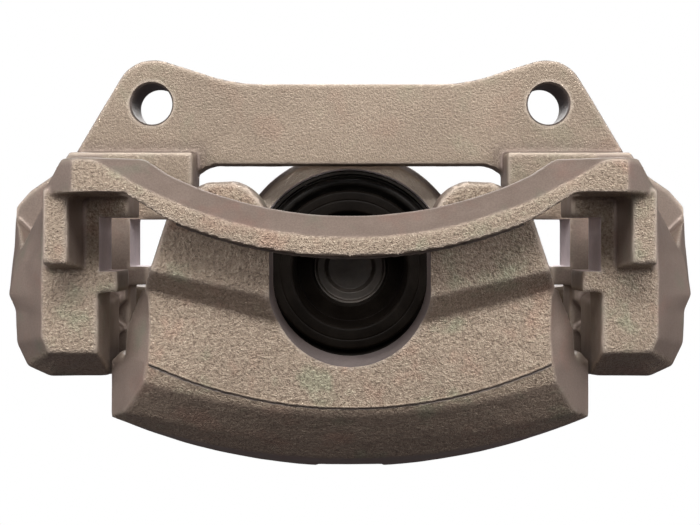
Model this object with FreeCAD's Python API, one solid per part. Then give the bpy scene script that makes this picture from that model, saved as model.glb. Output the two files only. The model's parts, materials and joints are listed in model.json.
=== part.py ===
import FreeCAD, Part
import math
import os

V = FreeCAD.Vector
os.makedirs("parts", exist_ok=True)

# A floating disc-brake caliper on its bracket, in millimetres.
# X runs across the caliper, +Y runs inboard along the disc axis and +Z points at the hub.
# The origin is midway between the two mounting holes, on the mounting face of the ears.

# Disc that the caliper straddles, and its running room
DISC_AXIS_Z = 78.0
DISC_ROOM_R = 169.0
BRIDGE_INNER_R = 180.0

# Planes along the disc axis
TIE_FRONT_Y = -104.5
TIE_BACK_Y = -93.0
RAIL_OUT_FRONT_Y = -79.0
RAIL_OUT_BACK_Y = -61.0
RAIL_IN_FRONT_Y = -31.0
RAIL_IN_BACK_Y = -12.0
NOSE_BACK_Y = -25.0
PLATE_FRONT_Y = -20.0
PLATE_BACK_Y = -8.0
EAR_BACK_Y = 0.0

# Mounting ears
HOLE_SPACING = 145.3
HOLE_R = 7.5

# Pad slots, the same in both rails
ABUTMENT_X = 78.3
SLOT_TOP_Z = -42.3
SLOT_BOTTOM_Z = -59.2
LEDGE_X = 72.4
LEDGE_BOTTOM_Z = -65.7
STUB_X = 69.0
INNER_WALL_X = 79.5

# Tie bar, an arc about the disc axis
TIE_AXIS_Z = 83.0
TIE_INNER_R = 125.2
TIE_OUTER_R = 137.0
TIE_LAND_R = 132.0

# Guide pins
PIN_X = 101.0
PIN_Z = -78.0
PIN_R = 6.0
PIN_FIT = 0.05
PIN_TIP_Y = -52.0
PIN_BORE_END_Y = -56.5
PIN_BOSS_R = 12.5
PIN_BOSS_END_Y = 2.0
PIN_HEAD_Y = 19.0
ARM_FRONT_Y = 24.0
ARM_BACK_Y = 37.0
PIN_TAP_R = 4.1
BOLT_R = 4.0
BOLT_HOLE_R = 4.3
BUSH_LENGTH = 14.0
BUSH_CORE_R = 4.4

# Cylinder, piston and seals
PISTON_Z = -61.2
PISTON_R = 30.0
PISTON_FIT = 0.06
PISTON_FACE_Y = -10.0
PISTON_BACK_Y = 38.0
BORE_END_Y = 41.0
CYL_FRONT_Y = -2.0
CYL_BACK_Y = 52.0
CYL_R = 45.5
CYL_FLAT_TOP_Z = -20.6
COUNTERBORE_R = 38.0
COUNTERBORE_END_Y = 6.0
BOOT_GROOVE_Y = -6.0
SEAL_Y = 12.0
SEAL_WIDTH = 4.0
SEAL_DEPTH = 3.2

# Fingers
FINGER_FRONT_Y = -89.0
FACE_FRONT_Y = -82.0
FINGER_INNER_Y = -70.5
WINDOW_R = 24.5
HOUSING_HALF = 77.0
SHELL_TOP_Z = -65.0
SHELL_BULGE_Z = -78.0

# Hydraulic ports
INLET_X = -17.0
INLET_Z = -52.0
INLET_R = 4.5
INLET_FACE_Y = 58.0
BLEED_X = 25.0
BLEED_Z = -40.0
BLEED_MOUTH_Y = 60.0
BLEED_SEAT_Y = 45.0
BLEED_R = 4.0
BLEED_FIT = 0.06


def wire(points, y):
    """A closed wire at one Y: (x, z) points, where ("arc", middle, end) bends the next stretch."""
    first = last = V(points[0][0], y, points[0][1])
    edges = []
    for item in points[1:]:
        if item[0] == "arc":
            middle = V(item[1][0], y, item[1][1])
            end = V(item[2][0], y, item[2][1])
            edges.append(Part.Arc(last, middle, end).toShape())
        else:
            end = V(item[0], y, item[1])
            edges.append(Part.makeLine(last, end))
        last = end
    if last.distanceToPoint(first) > 1e-6:
        edges.append(Part.makeLine(last, first))
    return Part.Wire(edges)


def prism(points, y0, y1):
    """The outline pushed from y0 to y1."""
    return Part.Face(wire(points, y0)).extrude(V(0, y1 - y0, 0))


def loft(sections):
    """A ruled body through (points, y) sections with equal point counts."""
    return Part.makeLoft([wire(points, y) for points, y in sections], True, True)


def rod(x, z, r, y0, y1):
    return Part.makeCylinder(r, y1 - y0, V(x, y0, z), V(0, 1, 0))


def cone(x, z, r0, r1, y0, y1):
    return Part.makeCone(r0, r1, y1 - y0, V(x, y0, z), V(0, 1, 0))


def block(x0, x1, y0, y1, z0, z1):
    return Part.makeBox(x1 - x0, y1 - y0, z1 - z0, V(x0, y0, z0))


def turned(profile, x, z):
    """A body turned about the line along Y through (x, z), from (radius, y) points."""
    points = [V(x + r, y, z) for r, y in profile]
    face = Part.Face(Part.makePolygon(points + points[:1]))
    return face.revolve(V(x, 0, z), V(0, 1, 0), 360)


def hexagon(x, z, across_flats, y0, y1):
    r = across_flats / math.sqrt(3)
    corners = [
        (x + r * math.cos(math.radians(60 * k)), z + r * math.sin(math.radians(60 * k)))
        for k in range(6)
    ]
    return prism(corners, y0, y1)


def mirrored(shape):
    return shape.mirror(V(0, 0, 0), V(1, 0, 0))


def both_sides(shape):
    return [shape, mirrored(shape)]


def fused(shapes):
    return shapes[0].multiFuse(shapes[1:]).removeSplitter()


def save(name, shape):
    """Write one node; a body made of a single solid is written as that solid."""
    solids = shape.Solids
    shape = solids[0] if len(solids) == 1 else Part.makeCompound(solids)
    shape.exportStep("parts/" + name + ".step")


# ---------------------------------------------------------------- bracket


def inner_edge(bottom_z):
    """Pad slot side of a rail, from its top stub down to bottom_z."""
    return [
        (ABUTMENT_X + 0.3, bottom_z),
        (ABUTMENT_X + 0.3, LEDGE_BOTTOM_Z),
        (LEDGE_X, LEDGE_BOTTOM_Z),
        (LEDGE_X, SLOT_BOTTOM_Z),
        (ABUTMENT_X, SLOT_BOTTOM_Z),
        (ABUTMENT_X, SLOT_TOP_Z),
        (STUB_X, SLOT_TOP_Z),
    ]


def outboard_tower():
    """Outboard rail: a small front face that flares out to the full tower."""
    front = [(STUB_X, -27), (87, -27), (96, -39.5), (96, -56), (96, -67), (96, -73), (96, -80)]
    front += [(94, -84.7), (88, -84.7)] + inner_edge(-84.7)
    back = [(STUB_X, -24), (87, -24), (101.5, -39.5), (110, -56), (112, -67.6), (109.8, -72.5)]
    back += [(109.4, -83.4), (105.8, -90.8), (98.5, -94.2)] + inner_edge(-94)
    rib = loft(
        [
            ([(84, -34), (91.5, -34), (91.5, -56.5), (84, -56.5)], -95),
            ([(83, -34), (95, -34), (95, -58.5), (83, -58.5)], RAIL_OUT_FRONT_Y + 2),
        ]
    )
    return [loft([(front, RAIL_OUT_FRONT_Y), (back, RAIL_OUT_BACK_Y)]), rib]


def disc_straddle():
    """The part of a tower that passes outside the disc's edge."""
    outboard = [(88, -30), (101.5, -39.5), (110, -56), (112, -67.6), (109.8, -72.5), (109.4, -83.4)]
    outboard += [(105.8, -90.8), (98.5, -94.2), (80, -94), (80, -66)]
    inboard = [(95, -30), (118.9, -38), (119.4, -52), (121.2, -69), (117.5, -74.5), (116.5, -85)]
    inboard += [(111.5, -93), (104, -97.4), (82, -97), (82, -66)]
    return loft([(outboard, RAIL_OUT_BACK_Y), (inboard, RAIL_IN_FRONT_Y)])


def inboard_rail():
    """Inboard rail, with a V-shaped nose standing in front of its lower inner wall."""
    outline = [(56, -18.4), (99.8, -18.4), (105.5, -26.5), (113.9, -32.3), (118.9, -38)]
    outline += [(119.4, -52), (121.2, -69), (117.5, -74.5), (116.5, -85), (111.5, -93)]
    outline += [(104, -97.4)]
    slot = [(LEDGE_X - 1, LEDGE_BOTTOM_Z), (LEDGE_X - 1, SLOT_BOTTOM_Z)]
    slot += [(ABUTMENT_X, SLOT_BOTTOM_Z), (ABUTMENT_X, SLOT_TOP_Z), (63, SLOT_TOP_Z), (56, -30)]
    nose = [(84, -97), (87, -86.5), (81, -82), (87, -77.5), (INNER_WALL_X + 0.5, -71)]
    nose += [(INNER_WALL_X + 0.5, LEDGE_BOTTOM_Z)]
    wall = [(INNER_WALL_X, -97), (INNER_WALL_X, LEDGE_BOTTOM_Z)]
    return [
        prism(outline + nose + slot, RAIL_IN_FRONT_Y, NOSE_BACK_Y + 1),
        prism(outline + wall + slot, NOSE_BACK_Y, RAIL_IN_BACK_Y),
    ]


def ear_plate():
    """Inboard plate with its two raised ears, as one outline across the bracket."""
    ear_x = HOLE_SPACING / 2
    right = [
        (31, 7.3),
        ("arc", (43, 8.3), (54, 11.2)),
        (66.5, 15.2),
        ("arc", (77.2, 15.1), (84.2, 9.1)),
        (105.5, -26.5),
        (113.9, -32.3),
        (118.9, -38),
        (118.9, -42),
        (60, -42),
        (60, -33),
        ("arc", (56.5, -25.6), (47, -22.3)),
    ]
    left = [(-47, -22.3), ("arc", (-56.5, -25.6), (-60, -33)), (-60, -42), (-118.9, -42), (-118.9, -38)]
    left += [(-113.9, -32.3), (-105.5, -26.5), (-84.2, 9.1), ("arc", (-77.2, 15.1), (-66.5, 15.2))]
    left += [(-54, 11.2)]
    left += [("arc", (-43, 8.3), (-31, 7.3))]
    plate = prism(right + left, PLATE_FRONT_Y, PLATE_BACK_Y)
    ear = [(61, 13.4), (66.5, 15.2), ("arc", (77.2, 15.1), (84.2, 9.1)), (97, -12.4), (62, -12.4)]
    ear += [("arc", (56.5, 1), (61, 13.4))]
    ears = both_sides(prism(ear, PLATE_FRONT_Y, EAR_BACK_Y))
    holes = both_sides(rod(ear_x, 0, HOLE_R, PLATE_FRONT_Y - 1, EAR_BACK_Y + 1))
    return [fused([plate] + ears).cut(Part.makeCompound(holes))]


def tie_bar():
    """Outboard bar round the hub side, bevelled along its hub edge, with square ends on the towers."""
    axis = TIE_AXIS_Z

    def on_arc(radius, x):
        return (x, axis - math.sqrt(radius**2 - x**2))

    top_x, bottom_x = 53.5, 52.5
    outline = [
        on_arc(TIE_INNER_R, -top_x),
        ("arc", on_arc(TIE_INNER_R, 0), on_arc(TIE_INNER_R, top_x)),
        (61, -25.3),
        (84.5, -25.3),
        (91.8, -34.5),
        (91.8, -36),
        (69, -35.2),
        (64.5, -36),
        on_arc(TIE_OUTER_R, bottom_x),
        ("arc", on_arc(TIE_OUTER_R, 0), on_arc(TIE_OUTER_R, -bottom_x)),
        (-64.5, -36),
        (-69, -35.2),
        (-91.8, -36),
        (-91.8, -34.5),
        (-84.5, -25.3),
        (-61, -25.3),
    ]
    bar = prism(outline, TIE_FRONT_Y, TIE_BACK_Y)
    bevel = cone(0, axis, TIE_LAND_R + 1, TIE_INNER_R - 0.2, TIE_FRONT_Y - 1, TIE_FRONT_Y + 6.8)
    end = [(79.2, TIE_FRONT_Y - 1), (98, TIE_FRONT_Y - 1), (98, -89), (91.5, -93)]
    end_face = Part.Face(Part.makePolygon([V(x, y, -60) for x, y in end + end[:1]]))
    end_bevel = end_face.extrude(V(0, 0, 60))
    bar = bar.cut(Part.makeCompound([bevel] + both_sides(end_bevel)))
    root = [(69, -26), (84.8, -26), (91.5, -36), (69, -36)]
    roots = both_sides(prism(root, TIE_BACK_Y - 1, RAIL_OUT_FRONT_Y + 3))
    return [bar] + roots


def pin_bore():
    """Blind bore for one guide pin, with the boot's groove round the boss mouth."""
    bore = rod(PIN_X, PIN_Z, PIN_R + PIN_FIT, PIN_BORE_END_Y, PIN_BOSS_END_Y + 1)
    tip = cone(PIN_X, PIN_Z, 0.2, PIN_R + PIN_FIT, PIN_BORE_END_Y - 3, PIN_BORE_END_Y)
    outer = rod(PIN_X, PIN_Z, PIN_BOSS_R + 1, PIN_BOSS_END_Y - 5, PIN_BOSS_END_Y - 2)
    groove = outer.cut(rod(PIN_X, PIN_Z, PIN_BOSS_R - 2, PIN_BOSS_END_Y - 5, PIN_BOSS_END_Y - 2))
    return [bore, tip, groove]


def bracket():
    side = outboard_tower() + [disc_straddle()] + inboard_rail()
    side.append(rod(PIN_X, PIN_Z, PIN_BOSS_R, RAIL_IN_FRONT_Y, PIN_BOSS_END_Y))
    half = fused(side)
    body = fused(both_sides(half) + ear_plate() + tie_bar())
    cuts = [rod(0, DISC_AXIS_Z, DISC_ROOM_R, RAIL_OUT_BACK_Y, RAIL_IN_FRONT_Y)]
    for tool in pin_bore():
        cuts += both_sides(tool)
    return body.cut(Part.makeCompound(cuts)).removeSplitter()


# ---------------------------------------------------------------- housing


def shell_section(y, bottom_z, half, corner_z, step_z, side_half, top_half):
    """One section of wall and bridge: an arched bottom, then sides stepped in at the parting line."""
    return (
        [
            (-half, corner_z),
            ("arc", (0, bottom_z), (half, corner_z)),
            (half, step_z),
            (side_half, step_z + 1.6),
            (side_half - 0.6, SHELL_BULGE_Z),
            (top_half, SHELL_TOP_Z),
            (-top_half, SHELL_TOP_Z),
            (0.6 - side_half, SHELL_BULGE_Z),
            (-side_half, step_z + 1.6),
            (-half, step_z),
        ],
        y,
    )


def outer_block():
    """Face, rolled edge and crown of the bridge, back to the cylinder."""
    return loft(
        [
            shell_section(FACE_FRONT_Y, -100.9, 62.1, -87.2, -86.8, 62.3, 62.6),
            shell_section(-80.5, -104, 63.9, -93.5, -87, 63.6, 63.1),
            shell_section(-71.5, -113.4, 71.8, -104.3, -88.1, 71.8, 66.2),
            shell_section(-64, -120.5, HOUSING_HALF + 0.8, -107, -88.6, 75.5, 68.8),
            shell_section(-48, -126.6, HOUSING_HALF, -111.2, -90, 74.8, 68),
            shell_section(2, -127, HOUSING_HALF, -112.5, -92, 75, 68),
            shell_section(22, -119, 68, -106, -91, 66, 60),
            shell_section(40, -106, 42, -99, -88, 41, 40),
        ]
    )


def fingers():
    """Two fingers standing up past the window, proud of the face below them."""
    outline = [
        (20, -60),
        (20, -46),
        (25.2, -42),
        (26.4, -38.8),
        (28, -36.2),
        ("arc", (31.1, -33.1), (35.8, -31.2)),
        (43.5, -31.5),
        ("arc", (47.5, -33), (50, -36)),
        (55.6, -42.6),
        (63.7, -64.6),
        (60, -75),
        (20, -75),
    ]
    crown = [(20, -46), (25.2, -42), (26.4, -38.8), (28, -36.2), (31.5, -32.8), (36, -31.5)]
    crown += [(43.5, -31.8), (50, -36), (55.6, -42.6)]
    front = [(20, -67.5)] + crown + [(60.8, -58.4)]
    step = [(20, -75.7)] + crown + [(63.7, -64.6)]
    body = prism(outline, FACE_FRONT_Y, FINGER_INNER_Y)
    pad = loft([(front, FINGER_FRONT_Y), (step, FACE_FRONT_Y)])
    return both_sides(body) + both_sides(pad)


def window():
    """U-shaped tool window between the fingers, a little deeper at the front."""

    def u_shape(y, r, z):
        return wire([(-r, -20), (-r, z), ("arc", (0, z - r), (r, z)), (r, -20)], y)

    front = u_shape(FINGER_FRONT_Y - 1, WINDOW_R, PISTON_Z - 4.5)
    back = u_shape(FINGER_INNER_Y + 1, WINDOW_R + 0.1, PISTON_Z - 0.5)
    return Part.makeLoft([front, back], True, True)


def disc_tunnel():
    """Room for disc and pads between the fingers and the cylinder."""
    return rod(0, DISC_AXIS_Z, BRIDGE_INNER_R, FINGER_INNER_Y, CYL_FRONT_Y)


def cylinder():
    body = rod(0, PISTON_Z, CYL_R, CYL_FRONT_Y + 4, CYL_BACK_Y - 6)
    nose = cone(0, PISTON_Z, CYL_R - 2.5, CYL_R, CYL_FRONT_Y, CYL_FRONT_Y + 4)
    tail = cone(0, PISTON_Z, CYL_R, CYL_R - 6, CYL_BACK_Y - 6, CYL_BACK_Y)
    flat = block(-60, 60, CYL_FRONT_Y - 1, 20, CYL_FLAT_TOP_Z, 20)
    return fused([body, nose, tail]).cut(flat)


def arms():
    """Side arms that carry the guide pins, each with a round end and a rib to the cylinder."""
    web = [(30, -66), (66, -71.5), (PIN_X, -67), (PIN_X, -90), (72, -92), (30, -104)]
    end = rod(PIN_X, PIN_Z, 12, ARM_FRONT_Y, ARM_BACK_Y)
    rib = loft(
        [
            ([(30, -78), (62, -78), (62, -86), (30, -92)], ARM_FRONT_Y + 2),
            ([(30, -80), (88, -79), (88, -84), (30, -88)], ARM_BACK_Y),
            ([(30, -81), (50, -80.5), (50, -83.5), (30, -86)], ARM_BACK_Y + 7),
        ]
    )
    return both_sides(fused([prism(web, ARM_FRONT_Y, ARM_BACK_Y), end, rib]))


def ports():
    """Raised bosses for the hose bolt and the bleeder on the closed end."""
    inlet = rod(INLET_X, INLET_Z, 11, CYL_BACK_Y - 8, INLET_FACE_Y)
    bleed = rod(BLEED_X, BLEED_Z, 8.5, CYL_BACK_Y - 14, BLEED_MOUTH_Y)
    return [inlet, bleed]


def bore_cuts():
    bore = rod(0, PISTON_Z, PISTON_R + PISTON_FIT, CYL_FRONT_Y - 1, BORE_END_Y)
    counterbore = rod(0, PISTON_Z, COUNTERBORE_R, CYL_FRONT_Y - 1, COUNTERBORE_END_Y)
    lead_in = cone(0, PISTON_Z, COUNTERBORE_R + 2, COUNTERBORE_R, CYL_FRONT_Y, CYL_FRONT_Y + 2)
    groove = rod(0, PISTON_Z, PISTON_R + SEAL_DEPTH, SEAL_Y, SEAL_Y + SEAL_WIDTH)
    inlet = rod(INLET_X, INLET_Z, INLET_R, BORE_END_Y - 1, INLET_FACE_Y + 1)
    bleed = rod(BLEED_X, BLEED_Z, BLEED_R + BLEED_FIT, BLEED_SEAT_Y, BLEED_MOUTH_Y + 1)
    bleed_way = rod(BLEED_X - 4, BLEED_Z, 1.5, BORE_END_Y - 1, BLEED_SEAT_Y + 1)
    bolt_holes = both_sides(rod(PIN_X, PIN_Z, BOLT_HOLE_R, ARM_FRONT_Y - 1, ARM_BACK_Y + 1))
    notch = block(-11, 11, -60, 0, -130, -125.4)
    return [bore, counterbore, lead_in, groove, inlet, bleed, bleed_way, notch] + bolt_holes


def housing():
    shell = fused([outer_block()] + fingers())
    shell = shell.cut(Part.makeCompound([disc_tunnel(), window()]))
    body = fused([shell, cylinder()] + arms() + ports())
    return body.cut(Part.makeCompound(bore_cuts())).removeSplitter()


# ---------------------------------------------------------------- small parts


def piston():
    """Moulded cup, open outboard, with a groove for the boot's lip."""
    front, back = PISTON_FACE_Y, PISTON_BACK_Y
    profile = [
        (0, back),
        (PISTON_R - 1.5, back),
        (PISTON_R, back - 3),
        (PISTON_R, BOOT_GROOVE_Y + 2.5),
        (PISTON_R - 2, BOOT_GROOVE_Y + 2.5),
        (PISTON_R - 2, BOOT_GROOVE_Y),
        (PISTON_R, BOOT_GROOVE_Y),
        (PISTON_R, front + 0.8),
        (PISTON_R - 0.8, front),
        (22.4, front),
        (21.6, front + 0.8),
        (21.0, front + 25),
        (15.0, front + 23),
        (14.4, front + 33),
        (9.9, front + 33),
        (9.5, front + 35),
        (0, front + 35),
    ]
    return turned(profile, 0, PISTON_Z)


def piston_seal():
    outer = rod(0, PISTON_Z, PISTON_R + SEAL_DEPTH - 0.1, SEAL_Y + 0.1, SEAL_Y + SEAL_WIDTH - 0.1)
    return outer.cut(rod(0, PISTON_Z, PISTON_R + 0.05, SEAL_Y - 1, SEAL_Y + SEAL_WIDTH + 1))


def piston_boot():
    """Folded dust boot from the counterbore to the piston's groove."""
    profile = [
        (PISTON_R - 1.8, BOOT_GROOVE_Y + 0.3),
        (PISTON_R + 0.3, BOOT_GROOVE_Y + 0.3),
        (PISTON_R + 1.2, BOOT_GROOVE_Y - 0.4),
        (PISTON_R + 2.2, -8.6),
        (PISTON_R + 4.0, -8.8),
        (PISTON_R + 5.0, -3.0),
        (PISTON_R + 5.6, -1.5),
        (PISTON_R + 6.1, -1.5),
        (PISTON_R + 6.1, 5.7),
        (PISTON_R + 4.3, 5.7),
        (PISTON_R + 4.0, -2.0),
        (PISTON_R + 3.0, -7.0),
        (PISTON_R + 1.6, 1.5),
        (PISTON_R + 0.6, 1.5),
        (PISTON_R + 0.4, BOOT_GROOVE_Y + 2.2),
        (PISTON_R - 1.8, BOOT_GROOVE_Y + 2.2),
    ]
    return turned(profile, 0, PISTON_Z)


def boot_ring():
    """Pressed ring that clamps the boot's outer bead in the counterbore."""
    profile = [
        (COUNTERBORE_R - 1.7, 5.8),
        (COUNTERBORE_R - 1.7, -0.8),
        (COUNTERBORE_R - 0.05, -0.8),
        (COUNTERBORE_R - 0.05, 5.8),
    ]
    return turned(profile, 0, PISTON_Z)


def guide_pin(bushed):
    """Hardened pin with a hexagon head, tapped for its bolt; the bushed one has a thin tip."""
    core_end = PIN_TIP_Y + BUSH_LENGTH + 1
    if bushed:
        tip = [(PIN_R, core_end), (BUSH_CORE_R, core_end), (BUSH_CORE_R, PIN_TIP_Y + 1)]
        tip += [(PIN_R - 0.4, PIN_TIP_Y + 1), (PIN_R - 0.8, PIN_TIP_Y)]
    else:
        tip = [(PIN_R, PIN_TIP_Y + 1), (PIN_R - 1, PIN_TIP_Y)]
    profile = tip + [
        (0, PIN_TIP_Y),
        (0, PIN_HEAD_Y + 1),
        (PIN_R, PIN_HEAD_Y + 1),
        (PIN_R, 17.5),
        (PIN_R - 1, 17.5),
        (PIN_R - 1, 14.5),
        (PIN_R, 14.5),
    ]
    shank = turned(profile, PIN_X, PIN_Z)
    head = hexagon(PIN_X, PIN_Z, 17, PIN_HEAD_Y, ARM_FRONT_Y)
    tap = rod(PIN_X, PIN_Z, PIN_TAP_R, 2, ARM_FRONT_Y + 1)
    return fused([shank, head]).cut(tap)


def pin_bushing():
    outer = rod(PIN_X, PIN_Z, PIN_R + 0.01, PIN_TIP_Y + 1.2, PIN_TIP_Y + BUSH_LENGTH + 0.8)
    return outer.cut(rod(PIN_X, PIN_Z, BUSH_CORE_R + 0.01, PIN_TIP_Y, PIN_TIP_Y + BUSH_LENGTH + 2))


def pin_boot():
    """Bellows between the bracket's boss and the pin's groove."""
    start = PIN_BOSS_END_Y - 4.8
    inner = [(PIN_BOSS_R - 1.9, start), (PIN_BOSS_R + 0.2, start), (PIN_BOSS_R + 0.2, 2.2)]
    outer = [(PIN_BOSS_R + 1.6, start), (PIN_BOSS_R + 1.6, 3.4)]
    folds = 3
    pitch = 3.4
    for k in range(folds):
        y = 3.4 + k * pitch
        inner += [(PIN_R + 2.4, y + 0.9), (PIN_R + 5.0, y + 0.9 + pitch / 2)]
        outer += [(PIN_R + 3.6, y + 0.9), (PIN_R + 6.2, y + 0.9 + pitch / 2)]
    inner += [(PIN_R + 1.2, 14.2), (PIN_R - 0.8, 14.8), (PIN_R - 0.8, 17.2)]
    outer += [(PIN_R + 2.6, 14.4), (PIN_R + 2.6, 17.2)]
    return turned(inner + outer[::-1], PIN_X, PIN_Z)


def guide_bolt():
    """Flanged hexagon bolt that holds the arm to its pin."""
    shank = rod(PIN_X, PIN_Z, BOLT_R, 6, ARM_BACK_Y + 1)
    flange = cone(PIN_X, PIN_Z, 8.8, 7.6, ARM_BACK_Y, ARM_BACK_Y + 1.8)
    head = hexagon(PIN_X, PIN_Z, 13, ARM_BACK_Y + 1, ARM_BACK_Y + 7)
    crown = cone(PIN_X, PIN_Z, 8.6, 6.0, ARM_BACK_Y + 4.4, ARM_BACK_Y + 7)
    body = head.common(fused([crown, rod(PIN_X, PIN_Z, 8.6, ARM_BACK_Y, ARM_BACK_Y + 4.4)]))
    return fused([shank, flange, body])


def bleeder_screw():
    """Hollow screw with a conical seat, a hexagon and a hose nipple."""
    profile = [
        (0.6, BLEED_SEAT_Y + 0.4),
        (3.0, BLEED_SEAT_Y + 4),
        (3.0, BLEED_SEAT_Y + 6),
        (BLEED_R, BLEED_SEAT_Y + 7),
        (BLEED_R, BLEED_MOUTH_Y + 1),
        (3.3, BLEED_MOUTH_Y + 2),
        (3.3, BLEED_MOUTH_Y + 10),
        (2.4, BLEED_MOUTH_Y + 11.5),
        (3.4, BLEED_MOUTH_Y + 14),
        (2.6, BLEED_MOUTH_Y + 17),
        (1.0, BLEED_MOUTH_Y + 17),
        (1.0, BLEED_SEAT_Y + 8),
        (0.6, BLEED_SEAT_Y + 8),
    ]
    body = turned(profile, BLEED_X, BLEED_Z)
    collar = hexagon(BLEED_X, BLEED_Z, 10, BLEED_MOUTH_Y + 1.5, BLEED_MOUTH_Y + 8)
    collar = collar.cut(rod(BLEED_X, BLEED_Z, 2.0, BLEED_MOUTH_Y, BLEED_MOUTH_Y + 10))
    cross = Part.makeCylinder(0.8, 8, V(BLEED_X - 4, BLEED_SEAT_Y + 5, BLEED_Z), V(1, 0, 0))
    return fused([body, collar]).cut(cross)


def bleeder_cap():
    """Soft cap that grips the nipple's bead."""
    y = BLEED_MOUTH_Y
    profile = [
        (3.5, y + 8.6),
        (4.9, y + 8.6),
        (5.1, y + 10),
        (4.8, y + 18),
        (3.6, y + 20),
        (0, y + 20),
        (0, y + 17.4),
        (3.0, y + 17.4),
        (3.5, y + 16),
    ]
    return turned(profile, BLEED_X, BLEED_Z)


save("bracket", bracket())
save("caliper_housing", housing())
save("piston", piston())
save("piston_seal", piston_seal())
save("piston_boot", piston_boot())
save("boot_ring", boot_ring())
save("guide_pin_right", guide_pin(False))
save("guide_pin_left", mirrored(guide_pin(True)))
save("pin_bushing", mirrored(pin_bushing()))
save("pin_boot_right", pin_boot())
save("pin_boot_left", mirrored(pin_boot()))
save("guide_bolt_right", guide_bolt())
save("guide_bolt_left", mirrored(guide_bolt()))
save("bleeder_screw", bleeder_screw())
save("bleeder_cap", bleeder_cap())
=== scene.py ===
import json
import math

import bmesh
import bpy
import numpy as np
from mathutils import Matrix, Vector, noise

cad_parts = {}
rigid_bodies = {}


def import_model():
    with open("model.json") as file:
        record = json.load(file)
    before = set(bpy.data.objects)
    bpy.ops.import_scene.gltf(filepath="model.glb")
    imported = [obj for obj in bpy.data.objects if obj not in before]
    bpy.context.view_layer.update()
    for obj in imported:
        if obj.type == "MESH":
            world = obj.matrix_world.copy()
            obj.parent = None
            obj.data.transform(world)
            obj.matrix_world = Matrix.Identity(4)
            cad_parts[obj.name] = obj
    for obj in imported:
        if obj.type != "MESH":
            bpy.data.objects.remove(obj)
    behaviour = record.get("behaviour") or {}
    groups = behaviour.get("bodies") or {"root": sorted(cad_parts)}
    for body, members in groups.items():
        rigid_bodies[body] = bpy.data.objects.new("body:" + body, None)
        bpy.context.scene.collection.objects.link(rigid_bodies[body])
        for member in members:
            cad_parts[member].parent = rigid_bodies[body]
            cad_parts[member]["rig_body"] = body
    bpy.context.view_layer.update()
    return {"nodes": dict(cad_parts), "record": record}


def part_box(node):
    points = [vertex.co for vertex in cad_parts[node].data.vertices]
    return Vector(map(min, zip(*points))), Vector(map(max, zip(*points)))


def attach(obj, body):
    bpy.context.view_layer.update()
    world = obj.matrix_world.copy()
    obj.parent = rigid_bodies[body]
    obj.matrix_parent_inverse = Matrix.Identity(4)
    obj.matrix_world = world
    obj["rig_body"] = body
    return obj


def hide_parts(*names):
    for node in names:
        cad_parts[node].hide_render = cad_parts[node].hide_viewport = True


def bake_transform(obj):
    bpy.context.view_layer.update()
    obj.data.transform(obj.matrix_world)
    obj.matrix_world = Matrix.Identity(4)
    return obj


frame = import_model()
NODES = frame["nodes"]
MOUNTS = {mount["name"]: mount for mount in frame["record"]["mounts"]}

# ------------------------------------------------------------------ places, in millimetres


def span(node):
    """Lowest and highest corner of a CAD node, in millimetres."""
    low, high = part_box(node)
    return np.array(low) * 1000, np.array(high) * 1000


PISTON_LOW, PISTON_HIGH = span("piston")
PISTON_X = (PISTON_LOW[0] + PISTON_HIGH[0]) / 2
PISTON_Z = (PISTON_LOW[2] + PISTON_HIGH[2]) / 2
PISTON_R = (PISTON_HIGH[0] - PISTON_LOW[0]) / 2
PISTON_FRONT = PISTON_LOW[1]
PISTON_BACK = PISTON_HIGH[1]
RING_HIGH = span("boot_ring")[1]
COUNTERBORE_R = RING_HIGH[0] + 0.05
COUNTERBORE_END = RING_HIGH[1] + 0.2
CYLINDER_FRONT = -2.0
BORE_END = PISTON_BACK + 3.0
SEAL_LOW, SEAL_HIGH = span("piston_seal")
PIN_LOW, PIN_HIGH = span("guide_pin_right")
PIN_X = (PIN_LOW[0] + PIN_HIGH[0]) / 2
PIN_Z = (PIN_LOW[2] + PIN_HIGH[2]) / 2
PIN_TIP = PIN_LOW[1]
PIN_BACK = PIN_HIGH[1]
PIN_R = 6.0
PIN_FIT = 0.05
PIN_BOSS_R = 12.5
PIN_BOSS_END = 2.0
BOSS_GROOVE = (-3.0, 0.0)
BOLT_HEAD = 7.0
ARM_BACK = span("guide_bolt_right")[1][1] - BOLT_HEAD
CAP_LOW, CAP_HIGH = span("bleeder_cap")
BLEED_X = (CAP_LOW[0] + CAP_HIGH[0]) / 2
BLEED_Z = (CAP_LOW[2] + CAP_HIGH[2]) / 2
CAP_FOOT = 8.6
BLEED_MOUTH = CAP_LOW[1] - CAP_FOOT
BLEED_HOLE_R = 4.06
EAR_X = MOUNTS["knuckle_bolts"]["dims"]["spacing_x_mm"] / 2
EAR_HOLE_R = MOUNTS["knuckle_bolts"]["dims"]["hole_r_mm"]
PORT_X, PORT_FACE, PORT_Z = np.array(MOUNTS["hose_port"]["pos_m"]) * 1000
PORT_R = MOUNTS["hose_port"]["dims"]["r_mm"]

# The bracket's planes
EAR_FRONT = -20.0
EAR_BACK = 0.0
ABUTMENT_X = 78.3
SLOT_TOP = -42.3
SLOT_BOTTOM = -59.2
SLOT_MOUTH_X = 55.0
RAIL_OUT = (-79.0, -61.0)
RAIL_IN = (-31.0, -12.0)
BLOCK_X = 56.0
BLOCK_TOP = -18.4
TIE_AXIS = 83.0
TIE_OUTER_R = 137.0
TIE_BACK = -99.0

# The housing's planes
FINGER_FRONT = -89.0
FACE_FRONT = -82.0
FINGER_INNER = -70.5
WINDOW_R = 24.5
WINDOW_TOP = -20.0
STEP_TOP = -67.5
STEP_BOTTOM = -75.7
BRIDGE_FLAT = -125.4

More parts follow.
